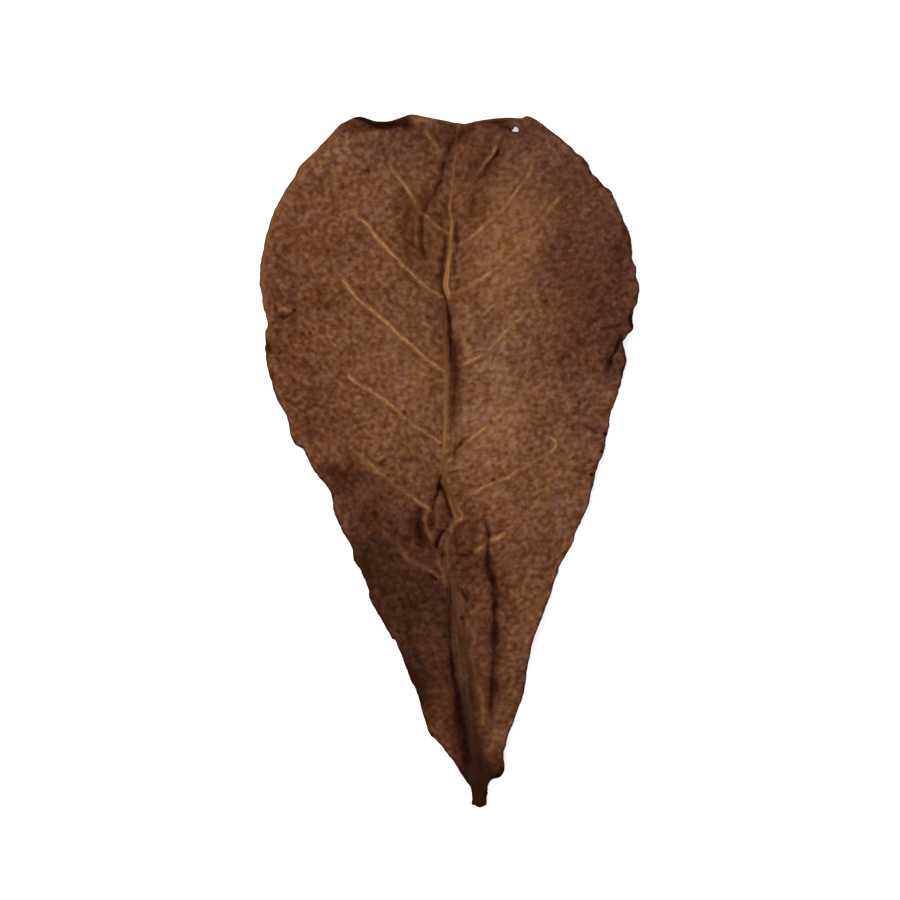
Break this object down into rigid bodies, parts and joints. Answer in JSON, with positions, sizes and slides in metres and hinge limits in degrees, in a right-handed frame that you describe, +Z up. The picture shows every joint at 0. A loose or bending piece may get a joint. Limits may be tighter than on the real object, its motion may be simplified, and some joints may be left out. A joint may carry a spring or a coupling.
{
  "type": "indian almond leaf",
  "caption": "Single dried brown leaf lying face up, broad and blunt at the curled-under tip, tapering to a short cut stalk, with a thick midrib, raised side veins and wavy margins.",
  "frame": {"origin": "on the surface that the leaf lies on, under the middle of its bounding box", "axes": "+Y from the cut stalk to the tip, +X to the right as seen from above with the tip away from the viewer, +Z up from the surface through the leaf's upper face"},
  "size_m": [0.1099, 0.2002, 0.0114],
  "materials": {
    "dried_leaf": "dry, leathery and matt, with a slight sheen on the midrib and veins"
  },
  "bodies": {
    "root": {"leaf": "dried_leaf"}
  },
  "joints": []
}
